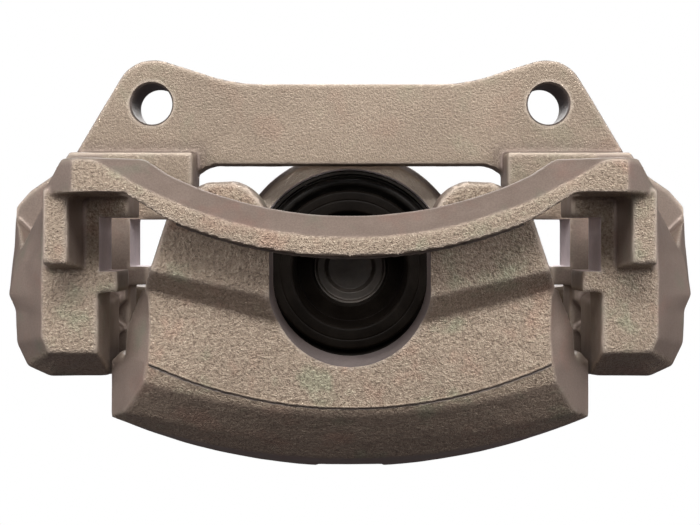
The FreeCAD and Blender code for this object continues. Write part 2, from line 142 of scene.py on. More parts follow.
# How finely the castings are made
VOXEL = 0.9
SMOOTH_PASSES = 2
FACE_LIMIT = 190000
JOIN_DISTANCE = 1e-6
SLIVER = 1e-5
GRIT_SIZE = 1.8
STOCK = 1.2
CAST_CREASE = 40
PIECE_CREASE = 35
CASTING_SLOTS = ("coated_iron", "machined_iron", "drafted_iron", "bore_iron")
COATED, MACHINED, DRAFTED, DARK_SHADE = range(4)

# ------------------------------------------------------------------ mesh helpers


def box_shape(x0, x1, y0, y1, z0, z1):
    verts = [(x, y, z) for x in (x0, x1) for y in (y0, y1) for z in (z0, z1)]
    faces = [(0, 1, 3, 2), (4, 6, 7, 5), (0, 4, 5, 1), (2, 3, 7, 6), (0, 2, 6, 4), (1, 5, 7, 3)]
    return verts, faces


def skinned(ends):
    """A closed shape between two outlines that have the same number of points."""
    count = len(ends[0])
    faces = [tuple(range(count)), tuple(range(2 * count - 1, count - 1, -1))]
    faces += [(k, (k + 1) % count, count + (k + 1) % count, count + k) for k in range(count)]
    return ends[0] + ends[1], faces


def prism_shape(outline, x0, x1):
    """An outline of (y, z) pushed along x."""
    return skinned([[(x, y, z) for y, z in outline] for x in (x0, x1)])


def spun_shape(profile, x, z, steps=96, closed=False):
    """A profile of (radius, y) or (radius, y, across flats) spun about a line along y."""
    verts = []
    rings = []
    for point in profile:
        radius, y = point[:2]
        flats = point[2] if len(point) > 2 else None
        if radius == 0:
            rings.append([len(verts)])
            verts.append((x, y, z))
            continue
        ring = []
        for k in range(steps):
            angle = 2 * math.pi * k / steps
            r = radius
            if flats:
                off = (angle + math.pi / 6) % (math.pi / 3) - math.pi / 6
                r = min(r, flats / 2 / math.cos(off))
            ring.append(len(verts))
            verts.append((x + r * math.cos(angle), y, z + r * math.sin(angle)))
        rings.append(ring)
    faces = []
    pairs = list(zip(rings, rings[1:]))
    if closed:
        pairs.append((rings[-1], rings[0]))
    for a, b in pairs:
        for k in range(steps):
            n = (k + 1) % steps
            if len(a) == 1:
                faces.append((a[0], b[n], b[k]))
            elif len(b) == 1:
                faces.append((a[k], a[n], b[0]))
            else:
                faces.append((a[k], a[n], b[n], b[k]))
    return verts, faces


def rod_shape(x, z, radius, y0, y1, steps=96):
    return spun_shape([(0, y0), (radius, y0), (radius, y1), (0, y1)], x, z, steps)


def rounded(points, radius, steps=4, closed=False):
    """The profile with each corner turned into a small curve; an open one keeps its ends."""
    result = []
    count = len(points)
    for k, point in enumerate(points):
        if not closed and k in (0, count - 1):
            result.append(tuple(point))
            continue
        here = np.array(point[:2], float)
        before = np.array(points[k - 1][:2], float)
        after = np.array(points[(k + 1) % count][:2], float)
        to_before = np.linalg.norm(before - here)
        to_after = np.linalg.norm(after - here)
        reach = min(radius, 0.45 * to_before, 0.45 * to_after)
        start = here + (before - here) * reach / to_before
        end = here + (after - here) * reach / to_after
        for s in range(steps + 1):
            t = s / steps
            spot = (1 - t) ** 2 * start + 2 * t * (1 - t) * here + t**2 * end
            result.append(tuple(spot) + tuple(point[2:]))
    return result


def tube_shape(path, radius):
    """A closed tube along points that run across x; radius(k) is its radius at point k."""
    sides = 8
    verts = []
    for k, (x, y, z) in enumerate(path):
        ahead = path[min(k + 1, len(path) - 1)]
        behind = path[max(k - 1, 0)]
        run = Vector(ahead) - Vector(behind)
        side = run.cross(Vector((0, 1, 0))).normalized()
        for s in range(sides):
            angle = 2 * math.pi * s / sides
            r = radius(k)
            offset = side * (r * math.cos(angle)) + Vector((0, r * math.sin(angle), 0))
            verts.append((x + offset.x, y + offset.y, z + offset.z))
    faces = []
    for k in range(len(path) - 1):
        for s in range(sides):
            n = (s + 1) % sides
            faces.append((k * sides + s, k * sides + n, (k + 1) * sides + n, (k + 1) * sides + s))
    faces.append(tuple(range(sides)))
    last = (len(path) - 1) * sides
    faces.append(tuple(range(last + sides - 1, last - 1, -1)))
    return verts, faces


def mirrored_shape(shape):
    """The same shape on the other side of x = 0."""
    verts, faces = shape
    return [(-x, y, z) for x, y, z in verts], [tuple(reversed(face)) for face in faces]


def both_sides(shape):
    return [shape, mirrored_shape(shape)]


def add_shapes(bm, shapes, material=0):
    """Add shapes given in millimetres to a bmesh in metres."""
    for verts, faces in shapes:
        made = [bm.verts.new(Vector(v) / 1000) for v in verts]
        new_faces = [bm.faces.new([made[i] for i in face]) for face in faces]
        for face in new_faces:
            face.material_index = material
        bmesh.ops.recalc_face_normals(bm, faces=new_faces)


def object_from(name, bm):
    mesh = bpy.data.meshes.new(name)
    bm.to_mesh(mesh)
    bm.free()
    obj = bpy.data.objects.new(name, mesh)
    bpy.context.scene.collection.objects.link(obj)
    return obj


def shape_object(name, shapes, material=0):
    bm = bmesh.new()
    add_shapes(bm, shapes, material)
    return object_from(name, bm)


def apply_modifiers(obj):
    graph = bpy.context.evaluated_depsgraph_get()
    mesh = bpy.data.meshes.new_from_object(obj.evaluated_get(graph))
    obj.modifiers.clear()
    obj.data = mesh


def boolean(obj, shapes, operation, material=COATED):
    """Cut or add shapes; the new faces get that material index."""
    tool = shape_object("tool", shapes, material)
    for slot in obj.data.materials:
        tool.data.materials.append(slot)
    modifier = obj.modifiers.new("boolean", "BOOLEAN")
    modifier.operation = operation
    modifier.solver = "EXACT"
    modifier.material_mode = "INDEX"
    modifier.object = tool
    apply_modifiers(obj)
    bpy.data.objects.remove(tool)


def shade(obj, angle):
    """Smooth shading with a crease wherever faces meet at more than that many degrees."""
    obj.data.polygons.foreach_set("use_smooth", [True] * len(obj.data.polygons))
    obj.data.set_sharp_from_angle(angle=math.radians(angle))


# ------------------------------------------------------------------ castings


def smoothstep(low, high, value):
    """0 below low, 1 above high, and a smooth rise between them."""
    t = np.clip((value - low) / (high - low), 0, 1)
    return t * t * (3 - 2 * t)


def neighbours_mean(mesh, values):
    """For each vertex, the mean of a value over the vertices joined to it."""
    edges = np.empty(len(mesh.edges) * 2, int)
    mesh.edges.foreach_get("vertices", edges)
    a, b = edges[::2], edges[1::2]
    total = np.zeros_like(values)
    count = np.zeros(len(values))
    np.add.at(total, a, values[b])
    np.add.at(total, b, values[a])
    np.add.at(count, a, 1)
    np.add.at(count, b, 1)
    return (total.T / np.maximum(count, 1)).T


def places_and_normals(mesh):
    places = np.empty(len(mesh.vertices) * 3)
    mesh.vertices.foreach_get("co", places)
    normals = np.empty(len(mesh.vertices) * 3)
    mesh.vertex_normals.foreach_get("vector", normals)
    return places.reshape(-1, 3), normals.reshape(-1, 3)


def between(value, low, high, soft):
    """1 between low and high, 0 outside, with a rise and a fall that far to either side of them."""
    return smoothstep(low - soft, low + soft, value) * (1 - smoothstep(high - soft, high + soft, value))


def surface(mesh, rounds):
    """How rough, raised, coarse and downward the surface of a casting is at each vertex."""
    places, normals = places_and_normals(mesh)
    calm = places.copy()
    flow = normals.copy()
    for _ in range(rounds):
        calm = (calm + neighbours_mean(mesh, calm)) / 2
        flow = flow + neighbours_mean(mesh, flow)
        flow /= np.maximum(np.linalg.norm(flow, axis=1, keepdims=True), 1e-9)
    bend = np.einsum("ij,ij->i", places - calm, normals)
    for _ in range(2):
        bend = (bend + neighbours_mean(mesh, bend)) / 2
    facing = smoothstep(0.76, 0.95, np.abs(flow[:, 1]))
    under = smoothstep(0.30, 0.60, -flow[:, 2])
    x, y, z = places.T * 1000
    over_disc = between(y, -62, -24, 2) * (1 - smoothstep(-44, -40, z))
    flanks = between(y, -58.5, -22.5, 1.5) * smoothstep(86, 90, np.abs(x))
    rough = np.maximum(facing, under) * (1 - np.maximum(over_disc, flanks))
    coarse = 0.45 + 0.55 * (1 - smoothstep(-60, -30, y))
    return rough, bend, coarse, under


def set_attribute(mesh, name, values):
    attribute = mesh.attributes.get(name) or mesh.attributes.new(name, "FLOAT", "POINT")
    attribute.data.foreach_set("value", np.asarray(values, np.float32))


def casting(name, node, stock, lump, lump_size, grit):
    """The CAD solid with machining stock, its edges rounded and its skin grained as cast."""
    bm = bmesh.new()
    bm.from_mesh(NODES[node].data)
    bmesh.ops.remove_doubles(bm, verts=bm.verts, dist=JOIN_DISTANCE)
    add_shapes(bm, stock)
    obj = object_from(name, bm)
    remesh = obj.modifiers.new("remesh", "REMESH")
    remesh.mode = "VOXEL"
    remesh.voxel_size = VOXEL / 1000
    smooth = obj.modifiers.new("smooth", "SMOOTH")
    smooth.factor = 0.5
    smooth.iterations = SMOOTH_PASSES
    apply_modifiers(obj)
    for slot in CASTING_SLOTS:
        obj.data.materials.append(MATERIALS[slot])
    add_grain(obj.data, lump, lump_size, grit)
    thin_out(obj)
    return obj


def add_grain(mesh, lump, lump_size, grit):
    """Move the surface in and out a little, as sand moulding leaves it."""
    places, normals = places_and_normals(mesh)
    rough, _, coarse, _ = surface(mesh, 3)
    shift = np.empty(len(places))
    for k, place in enumerate(places):
        spot = Vector(place)
        slow = noise.noise(spot * (1000 / lump_size))
        fast = noise.fractal(spot * (1000 / GRIT_SIZE), 0.6, 2.1, 2)
        shift[k] = slow * lump + fast * grit * coarse[k] * (0.15 + 0.85 * rough[k])
    places = places + normals * (shift / 1000)[:, None]
    mesh.vertices.foreach_set("co", places.ravel())
    mesh.update()


def thin_out(obj):
    """Bring a mesh down to the most triangles that a casting may have."""
    triangles = sum(len(polygon.vertices) - 2 for polygon in obj.data.polygons)
    if triangles > FACE_LIMIT:
        modifier = obj.modifiers.new("thin", "DECIMATE")
        modifier.ratio = FACE_LIMIT / triangles
        apply_modifiers(obj)


def shade_round_blocks(places):
    """How much painted shade darkens the plate just round the inboard rails' upper blocks."""
    x, y, z = places.T
    beside = np.maximum(BLOCK_X - np.abs(x), 0)
    above = np.maximum(z - BLOCK_TOP, 0)
    gap = np.hypot(beside, above)
    near = (1 - smoothstep(1.0, 7.0, gap)) * (gap > 0) * (np.abs(x) < 97) * (z > -34)
    return near * between(y, -26, -13, 1)


def rim_painted_light(places):
    """How much painted light brightens the cylinder's front rim, which the plate above shades."""
    x, y, z = places.T
    spread = np.hypot(x - PISTON_X, z - PISTON_Z)
    depth = np.abs(y - CYLINDER_FRONT)
    return (1 - smoothstep(53, 57, spread)) * (1 - smoothstep(0.6, 1.6, depth)) * (z > PISTON_Z)


def clean(mesh):
    """Join the cuts' near-coincident corners and drop their slivers."""
    bm = bmesh.new()
    bm.from_mesh(mesh)
    bmesh.ops.remove_doubles(bm, verts=bm.verts, dist=SLIVER)
    bmesh.ops.dissolve_degenerate(bm, edges=bm.edges, dist=SLIVER)
    bm.to_mesh(mesh)
    bm.free()


def finish_casting(obj, node):
    """Give a casting the values that its coating reads, painted shade and painted highlight among them, and
    its place in the frame.
    """
    mesh = obj.data
    clean(mesh)
    places = places_and_normals(mesh)[0] * 1000
    rough, bend, coarse, under = surface(mesh, 6)
    # Convex edges lighter: partly wear and partly painted highlight.
    edge = smoothstep(0.05, 0.30, bend * 1000)
    # Painted shade: crevices and downward-facing surfaces are darkened.
    hollow = np.maximum(smoothstep(0.05, 0.35, -bend * 1000), 0.5 * under)
    if node == "bracket":
        # Painted shade on the plate round the inboard rails' upper blocks.
        hollow = np.maximum(hollow, 0.7 * shade_round_blocks(places))
    else:
        # Painted light on the cylinder's front rim, carried in the edge values.
        edge = np.maximum(edge, 2.0 * rim_painted_light(places))
    for name, values in (("rough", rough), ("coarse", coarse), ("edge", edge), ("hollow", hollow)):
        set_attribute(mesh, name, values)
    shade(obj, CAST_CREASE)
    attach(obj, NODES[node]["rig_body"])
    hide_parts(node)


# ------------------------------------------------------------------ materials


def feed(tree, socket, value):
    """Set a socket to a value, or join it to another socket; three numbers make a colour."""
    if isinstance(value, bpy.types.NodeSocket):
        tree.links.new(value, socket)
    elif socket.type == "RGBA" and len(value) == 3:
        socket.default_value = (*value, 1)
    else:
        socket.default_value = value


def add(tree, kind, **inputs):
    """A shader node with its inputs."""
    node = tree.nodes.new("ShaderNode" + kind)
    for name, value in inputs.items():
        feed(tree, node.inputs[name], value)
    return node


def combine(tree, operation, a, b):
    node = tree.nodes.new("ShaderNodeMath")
    node.operation = operation
    for socket, value in zip(node.inputs, (a, b)):
        feed(tree, socket, value)
    return node.outputs[0]


def mixture(tree, parts):
    """The sum of two values, each with its weight."""
    weighted = [combine(tree, "MULTIPLY", value, weight) for value, weight in parts]
    return combine(tree, "ADD", *weighted)


def ramp(tree, factor, stops):
    """A colour ramp of (place, colour); a single number stands for a grey."""
    node = tree.nodes.new("ShaderNodeValToRGB")
    tree.links.new(factor, node.inputs[0])
    elements = node.color_ramp.elements
    while len(elements) < len(stops):
        elements.new(0.5)
    for element, (place, colour) in zip(elements, stops):
        element.position = place
        rgb = (colour,) * 3 if isinstance(colour, (int, float)) else colour
        element.color = (*rgb, 1)
    return node.outputs[0]


def blend_colours(tree, mode, factor, a, b):
    node = tree.nodes.new("ShaderNodeMixRGB")
    node.blend_type = mode
    for socket, value in zip(node.inputs, (factor, a, b)):
        feed(tree, socket, value)
    return node.outputs[0]


def new_material(name):
    """A material, its node tree, its shader and the place on the object."""
    material = bpy.data.materials.new(name)
    material.use_nodes = True
    tree = material.node_tree
    shader = tree.nodes["Principled BSDF"]
    place = tree.nodes.new("ShaderNodeTexCoord").outputs["Object"]
    return material, tree, shader, place


def noise_value(tree, place, size, detail, roughness):
    """Noise whose grains are about that many millimetres across."""
    node = add(tree, "TexNoise", Vector=place, Scale=1000 / size, Detail=detail, Roughness=roughness)
    return node.outputs["Fac"]


def attribute_value(tree, name):
    node = tree.nodes.new("ShaderNodeAttribute")
    node.attribute_name = name
    return node.outputs["Fac"]


def finish_shader(tree, shader, colour, sheen, metallic, height, strength, depth):
    """Wire the shader; sheen is its roughness, and depth is the bump's height in millimetres."""
    bump = add(tree, "Bump", Height=height, Strength=strength, Distance=depth / 1000)
    feed(tree, shader.inputs["Base Color"], colour)
    feed(tree, shader.inputs["Roughness"], sheen)
    feed(tree, shader.inputs["Metallic"], metallic)
    feed(tree, shader.inputs["Normal"], bump.outputs["Normal"])


def coated_iron():
    """Sand-cast iron under a thin bronze-grey coating: gritty faces and calmer drafted sides, with painted
    shade in hollows and underneath and painted highlight on edges.
    """
    material, tree, shader, place = new_material("coated_iron")
    rough = attribute_value(tree, "rough")
    coarse = attribute_value(tree, "coarse")
    edge = attribute_value(tree, "edge")
    hollow = attribute_value(tree, "hollow")
    grit = noise_value(tree, place, 0.95, 3.0, 0.62)
    fine = noise_value(tree, place, 0.48, 2.0, 0.6)
    lumps = noise_value(tree, place, 5.0, 3.0, 0.5)
    stain = noise_value(tree, place, 38.0, 4.0, 0.55)
    tint = noise_value(tree, place, 17.0, 3.0, 0.6)
    grains = [(0.37, (0.195, 0.148, 0.110)), (0.47, (0.34, 0.268, 0.203))]
    grains += [(0.55, (0.39, 0.314, 0.239)), (0.65, (0.55, 0.458, 0.356))]
    gritty = ramp(tree, mixture(tree, [(grit, 0.6), (fine, 0.4)]), grains)
    # Toward the back the grit gives way to a flatter, darker colour: smoother iron, and partly painted
    # shade from the tie bar on the blocks behind.
    gritty = blend_colours(tree, "MIX", coarse, (0.235, 0.187, 0.143), gritty)
    calm = ramp(tree, fine, [(0.35, (0.232, 0.180, 0.150)), (0.65, (0.278, 0.220, 0.186))])
    colour = blend_colours(tree, "MIX", rough, calm, gritty)
    patches = ramp(tree, stain, [(0.35, (0.90, 0.89, 0.88)), (0.65, (1.06, 1.05, 1.04))])
    colour = blend_colours(tree, "MULTIPLY", 0.9, colour, patches)
    tints = [(0.30, (1.08, 0.95, 0.94)), (0.43, (1, 1, 1)), (0.57, (1, 1, 1)), (0.70, (0.88, 1.03, 0.97))]
    colour = blend_colours(tree, "MULTIPLY", coarse, colour, ramp(tree, tint, tints))
    # Convex edges go pale: partly wear and partly painted highlight, and painted light on the cylinder's
    # rim.
    wear_and_painted_light = combine(tree, "MULTIPLY", edge, 0.5)
    colour = blend_colours(tree, "MIX", wear_and_painted_light, colour, (0.55, 0.467, 0.385))
    # Painted shade: crevices, undersides and the plate round the blocks go toward a near-black brown.
    shade_amount = combine(tree, "MULTIPLY", hollow, 0.6)
    colour = blend_colours(tree, "MIX", shade_amount, colour, (0.11, 0.078, 0.070))
    sheen = ramp(tree, lumps, [(0.3, 0.38), (0.7, 0.50)])
    height = mixture(tree, [(grit, 0.7), (fine, 0.45)])
    strength = combine(tree, "MULTIPLY", combine(tree, "MULTIPLY", rough, coarse), 0.92)
    strength = combine(tree, "ADD", strength, 0.08)
    finish_shader(tree, shader, colour, sheen, 0.4, height, strength, 0.8)
    return material


def drafted_iron():
    """The coating where the pattern left a clean, smooth wall."""
    material, tree, shader, place = new_material("drafted_iron")
    fine = noise_value(tree, place, 0.8, 3.0, 0.6)
    stain = noise_value(tree, place, 14.0, 4.0, 0.55)
    colour = ramp(tree, stain, [(0.3, (0.24, 0.20, 0.195)), (0.7, (0.34, 0.285, 0.27))])
    colour = blend_colours(tree, "MULTIPLY", 0.5, colour, ramp(tree, fine, [(0.35, 0.75), (0.65, 1.1)]))
    sheen = ramp(tree, stain, [(0.3, 0.36), (0.7, 0.5)])
    finish_shader(tree, shader, colour, sheen, 0.6, fine, 0.25, 0.15)
    return material


def machined_iron():
    """Milled and drilled faces: greyer, with fine tool lines."""
    material, tree, shader, place = new_material("machined_iron")
    stretch = add(tree, "Mapping", Vector=place, Scale=(0.12, 3.0, 0.9)).outputs["Vector"]
    lines = noise_value(tree, stretch, 1.1, 3.0, 0.6)
    stain = noise_value(tree, place, 9.0, 4.0, 0.6)
    colour = ramp(tree, lines, [(0.3, (0.60, 0.52, 0.53)), (0.7, (0.79, 0.69, 0.70))])
    colour = blend_colours(tree, "MULTIPLY", 0.6, colour, ramp(tree, stain, [(0.3, 0.75), (0.7, 1.1)]))
    sheen = ramp(tree, lines, [(0.3, 0.34), (0.7, 0.48)])
    finish_shader(tree, shader, colour, sheen, 0.25, lines, 0.25, 0.12)
    return material


def bore_iron():
    """Near-black iron for drilled walls and mould seams: painted shade inside the holes and under the
    seams' edges.
    """
    material, tree, shader, place = new_material("bore_iron")
    fine = noise_value(tree, place, 0.9, 3.0, 0.6)
    stain = noise_value(tree, place, 5.0, 4.0, 0.6)
    colour = ramp(tree, stain, [(0.3, (0.075, 0.058, 0.050)), (0.7, (0.15, 0.12, 0.102))])
    sheen = ramp(tree, stain, [(0.3, 0.42), (0.7, 0.58)])
    finish_shader(tree, shader, colour, sheen, 0.3, fine, 0.3, 0.15)
    return material


def steel(name, dark, light, roughness, metallic=0.95):
    """Turned or plated steel, or a moulded floor, with fine rings of tool marks about the axis."""
    material, tree, shader, place = new_material(name)
    stretch = add(tree, "Mapping", Vector=place, Scale=(0.2, 4.0, 0.2)).outputs["Vector"]
    lines = noise_value(tree, stretch, 2.2, 3.0, 0.6)
    spots = noise_value(tree, place, 3.0, 4.0, 0.65)
    colour = ramp(tree, lines, [(0.3, dark), (0.7, light)])
    colour = blend_colours(tree, "MULTIPLY", 0.5, colour, ramp(tree, spots, [(0.35, 0.6), (0.65, 1.1)]))
    sheen = ramp(tree, spots, [(0.3, roughness - 0.08), (0.7, roughness + 0.12)])
    finish_shader(tree, shader, colour, sheen, metallic, lines, 0.3, 0.08)
    return material


def phenolic():
    """The piston's dark moulded resin, ground on its outside."""
    material, tree, shader, place = new_material("phenolic")
    fine = noise_value(tree, place, 0.7, 3.0, 0.7)
    cloud = noise_value(tree, place, 11.0, 4.0, 0.6)
    colour = ramp(tree, cloud, [(0.3, (0.004, 0.0029, 0.0022)), (0.7, (0.009, 0.0068, 0.0052))])
    colour = blend_colours(tree, "MULTIPLY", 0.6, colour, ramp(tree, fine, [(0.35, 0.7), (0.65, 1.3)]))
    sheen = ramp(tree, cloud, [(0.3, 0.42), (0.7, 0.56)])
    shader.inputs["Specular IOR Level"].default_value = 0.07
    finish_shader(tree, shader, colour, sheen, 0.0, fine, 0.3, 0.08)
    return material


def rubber(name, dark, light, roughness=0.5):
    """Moulded rubber with a little dust on it."""
    material, tree, shader, place = new_material(name)
    fine = noise_value(tree, place, 0.5, 3.0, 0.6)
    dust = noise_value(tree, place, 7.0, 4.0, 0.6)
    colour = ramp(tree, dust, [(0.35, dark), (0.7, light)])
    sheen = ramp(tree, dust, [(0.3, roughness - 0.08), (0.7, roughness + 0.12)])
    shader.inputs["Specular IOR Level"].default_value = 0.18
    finish_shader(tree, shader, colour, sheen, 0.0, fine, 0.35, 0.08)
    return material


MATERIALS = {
    "coated_iron": coated_iron(),
    "drafted_iron": drafted_iron(),
    "machined_iron": machined_iron(),
    "bore_iron": bore_iron(),
    "phenolic": phenolic(),
    "seal_rubber": rubber("seal_rubber", (0.010, 0.010, 0.010), (0.03, 0.03, 0.03)),
    "boot_rubber": rubber("boot_rubber", (0.004, 0.0035, 0.003), (0.014, 0.012, 0.010), 0.42),
    "cap_rubber": rubber("cap_rubber", (0.008, 0.008, 0.008), (0.03, 0.03, 0.032)),
    "moulded_floor": steel("moulded_floor", (0.045, 0.037, 0.031), (0.088, 0.072, 0.060), 0.48, 0.3),
    "ring_steel": steel("ring_steel", (0.020, 0.017, 0.014), (0.05, 0.043, 0.036), 0.38, 0.6),
    "pin_steel": steel("pin_steel", (0.38, 0.37, 0.35), (0.62, 0.61, 0.58), 0.24),
    "bolt_steel": steel("bolt_steel", (0.30, 0.28, 0.24), (0.55, 0.52, 0.46), 0.34),
    "plated_steel": steel("plated_steel", (0.42, 0.33, 0.17), (0.66, 0.56, 0.34), 0.32),
}

# ------------------------------------------------------------------ bracket


def tie_flash():
    """The mould's flash under the tie bar, behind its lower edge."""
    half, steps, drop = 51.0, 110, 0.30
    path = []
    for k in range(steps + 1):
        x = -half + 2 * half * k / steps
        wander = 0.10 * noise.noise(Vector((x * 0.4, 2.3, 0)))
        edge_z = TIE_AXIS - math.sqrt(TIE_OUTER_R**2 - x**2)
        path.append((x, TIE_BACK, edge_z - drop + wander))

    def thickness(k):
        return 0.55 + 0.2 * noise.noise(Vector((path[k][0] * 0.7, 0, 8.2)))

    return tube_shape(path, thickness)


def collar(inner, outer, start, end):
    """A square ring about a guide pin's line, one on each side."""
    section = [(inner, start), (outer, start), (outer, end), (inner, end)]
    return both_sides(spun_shape(section, PIN_X, PIN_Z, 64, closed=True))


def bracket():
    """The bracket's casting, with its pad slots, pin bores, boot grooves and ear holes cut in."""
    stock = []
    cuts = []
    for y0, y1 in (RAIL_OUT, RAIL_IN):
        wall = box_shape(73.2, ABUTMENT_X + 1.5, y0, y1, SLOT_BOTTOM - STOCK, SLOT_TOP + STOCK)
        slot = box_shape(SLOT_MOUTH_X, ABUTMENT_X, y0 - 3, y1 + 3, SLOT_BOTTOM, SLOT_TOP)
        stock += both_sides(wall)
        cuts += both_sides(slot)
    groove_start, groove_end = BOSS_GROOVE
    stock += both_sides(rod_shape(EAR_X, 0, EAR_HOLE_R + 1.5, EAR_FRONT, EAR_BACK, 48))
    stock += both_sides(rod_shape(PIN_X, PIN_Z, PIN_R + 1.6, PIN_TIP - 8, PIN_BOSS_END, 48))
    stock += collar(PIN_BOSS_R - 3, PIN_BOSS_R, groove_start - 0.6, groove_end + 0.4)
    obj = casting("bracket_casting", "bracket", stock, 0.10, 9.0, 0.12)

    bore = PIN_R + PIN_FIT
    drill = [(0, PIN_TIP - 7.5), (bore, PIN_TIP - 4.5), (bore, PIN_BOSS_END - 0.5)]
    drill += [(bore + 1.5, PIN_BOSS_END + 1), (0, PIN_BOSS_END + 1)]
    cuts += both_sides(spun_shape(drill, PIN_X, PIN_Z, 64))
    cuts += collar(PIN_BOSS_R - 2, PIN_BOSS_R + 2.5, groove_start, groove_end)
    boolean(obj, cuts, "DIFFERENCE", MACHINED)
    hole = [(0, EAR_FRONT - 2), (EAR_HOLE_R + 2.6, EAR_FRONT - 2), (EAR_HOLE_R, EAR_FRONT + 0.6)]
    hole += [(EAR_HOLE_R, EAR_BACK - 0.6), (EAR_HOLE_R + 2.6, EAR_BACK + 2), (0, EAR_BACK + 2)]
    # The ear holes' walls get the near-black material: painted shade inside the holes.
    boolean(obj, both_sides(spun_shape(hole, EAR_X, 0, 128)), "DIFFERENCE", DARK_SHADE)
    # The flash gets the near-black material: a painted shade line under the tie bar's lower edge.
    boolean(obj, [tie_flash()], "UNION", DARK_SHADE)
    finish_casting(obj, "bracket")


# ------------------------------------------------------------------ housing


def window_shape():
    """The U between the fingers, a little deeper at the front."""
    arc_steps = 40
    front = (FINGER_FRONT - 1, WINDOW_R, PISTON_Z - 4.5)
    back = (FINGER_INNER + 1, WINDOW_R + 0.1, PISTON_Z - 0.5)
    ends = []
    for y, radius, z in (front, back):
        outline = [(-radius, y, WINDOW_TOP)]
        for k in range(arc_steps + 1):
            angle = math.pi + math.pi * k / arc_steps
            outline.append((radius * math.cos(angle), y, z + radius * math.sin(angle)))
        ends.append(outline + [(radius, y, WINDOW_TOP)])
    return skinned(ends)


def parting_line(lower, forward, thick):
    """A thin tube along the joint of the mould, where the face meets the rolled edge.

    It lies that much lower than the joint and that much forward of the face.
    """
    half, side_z, middle_z = 62.3, -87.3, -101.0
    sag = side_z - middle_z
    radius = (half**2 + sag**2) / (2 * sag)
    centre_z = middle_z + radius
    steps = 120
    path = []
    for k in range(steps + 1):
        x = -half + 2 * half * k / steps
        wander = 0.12 * noise.noise(Vector((x * 0.35, 0, 3.7)))
        joint_z = centre_z - math.sqrt(radius**2 - x**2)
        path.append((x, FACE_FRONT - forward, joint_z + wander - lower))

    def thickness(k):
        return thick * (1 + 0.4 * noise.noise(Vector((path[k][0] * 0.8, 5.1, 0))))

    return tube_shape(path, thickness)


def housing_stock():
    """Metal left on the housing where the cutters will go."""
    top, bottom, half = -46, -93, WINDOW_R + 0.8
    plug = [(FINGER_INNER, top), (FINGER_FRONT, top), (FINGER_FRONT, STEP_TOP + 1)]
    plug += [(FACE_FRONT, STEP_BOTTOM + 1), (FACE_FRONT, bottom), (FINGER_INNER, bottom)]
    stock = [prism_shape(plug, -half, half)]
    stock.append(rod_shape(PISTON_X, PISTON_Z, COUNTERBORE_R + 2.2, CYLINDER_FRONT, BORE_END + 1))
    stock += both_sides(rod_shape(PIN_X, PIN_Z, 11.9, PIN_BACK - STOCK, ARM_BACK + STOCK, 64))
    stock.append(rod_shape(PORT_X, PORT_Z, 10.9, BORE_END + 2, PORT_FACE + STOCK, 64))
    stock.append(rod_shape(BLEED_X, BLEED_Z, 8.4, BORE_END + 2, BLEED_MOUTH + STOCK, 64))
    return stock


def cylinder_bore():
    """The boot's counterbore, the bore and the seal's groove in it."""
    front, step = CYLINDER_FRONT, COUNTERBORE_END
    groove_start, groove_end = SEAL_LOW[1] - 0.1, SEAL_HIGH[1] + 0.1
    groove_r = SEAL_HIGH[0] - PISTON_X + 0.1
    bore_r = PISTON_R + 0.06
    lip_r = COUNTERBORE_R + 0.5
    profile = [(0, front - 14), (lip_r, front - 14), (lip_r, front)]
    profile += [(COUNTERBORE_R, front + 0.5), (COUNTERBORE_R, step), (bore_r + 0.8, step)]
    profile += [(bore_r, step + 0.8), (bore_r, groove_start), (groove_r, groove_start)]
    profile += [(groove_r, groove_end), (bore_r, groove_end), (bore_r, BORE_END), (0, BORE_END)]
    return spun_shape(profile, PISTON_X, PISTON_Z, 160)


def drilled(x, z, radius, start, chamfer, mouth, face_r):
    """A drilled hole with a chamfered mouth (radius, depth) in a spot face."""
    wide, deep = chamfer
    profile = [(0, start), (radius, start), (radius, mouth - deep), (wide, mouth)]
    profile += [(face_r, mouth), (face_r, mouth + 4), (0, mouth + 4)]
    return spun_shape(profile, x, z, 96)


def pin_eyes():
    """The spot faces and the bolt's hole through each arm."""
    start, bolt_r, pin_face_r, bolt_face_r = PIN_BACK - 4, 4.3, 12.8, 10.2
    profile = [(0, start), (pin_face_r, start), (pin_face_r, PIN_BACK), (bolt_r, PIN_BACK)]
    profile += [(bolt_r, ARM_BACK), (bolt_face_r, ARM_BACK), (bolt_face_r, ARM_BACK + 4), (0, ARM_BACK + 4)]
    return both_sides(spun_shape(profile, PIN_X, PIN_Z, 96))


def housing():
    """The housing's casting, with its mould line, bore, ports, eyes and window."""
    obj = casting("housing_casting", "caliper_housing", housing_stock(), 0.12, 10.0, 0.13)
    # The groove under the mould line gets the near-black material: painted shade under the ridge.
    boolean(obj, [parting_line(0.80, -0.05, 0.58)], "DIFFERENCE", DARK_SHADE)
    boolean(obj, [parting_line(0.0, -0.15, 0.42)], "UNION")
    port = drilled(PORT_X, PORT_Z, PORT_R, BORE_END - 0.5, (PORT_R + 1, 1), PORT_FACE, 13)
    bleed = drilled(BLEED_X, BLEED_Z, BLEED_HOLE_R, BLEED_MOUTH - 15, (4.8, 0.8), BLEED_MOUTH, 10.5)
    boolean(obj, [cylinder_bore(), port, bleed, *pin_eyes()], "DIFFERENCE", MACHINED)
    boolean(obj, [window_shape()], "DIFFERENCE", DRAFTED)
    below_flat = box_shape(-11, 11, -60, 0, BRIDGE_FLAT - 4.6, BRIDGE_FLAT)
    boolean(obj, [below_flat], "DIFFERENCE")
    finish_casting(obj, "caliper_housing")


# ------------------------------------------------------------------ smaller pieces


def piece(name, node, shape, slot):
    """A finished piece that stands for a CAD node; it still has to ride or blend."""
    obj = shape_object(name, [shape])
    obj.data.materials.append(MATERIALS[slot])
    shade(obj, PIECE_CREASE)
    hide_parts(node)
    return obj


def riding_piece(name, node, shape, slot):
    """A finished piece that moves with its CAD node's body."""
    obj = piece(name, node, shape, slot)
    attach(obj, NODES[node]["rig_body"])
    return obj


def on_side(shape, side):
    return mirrored_shape(shape) if side == "left" else shape


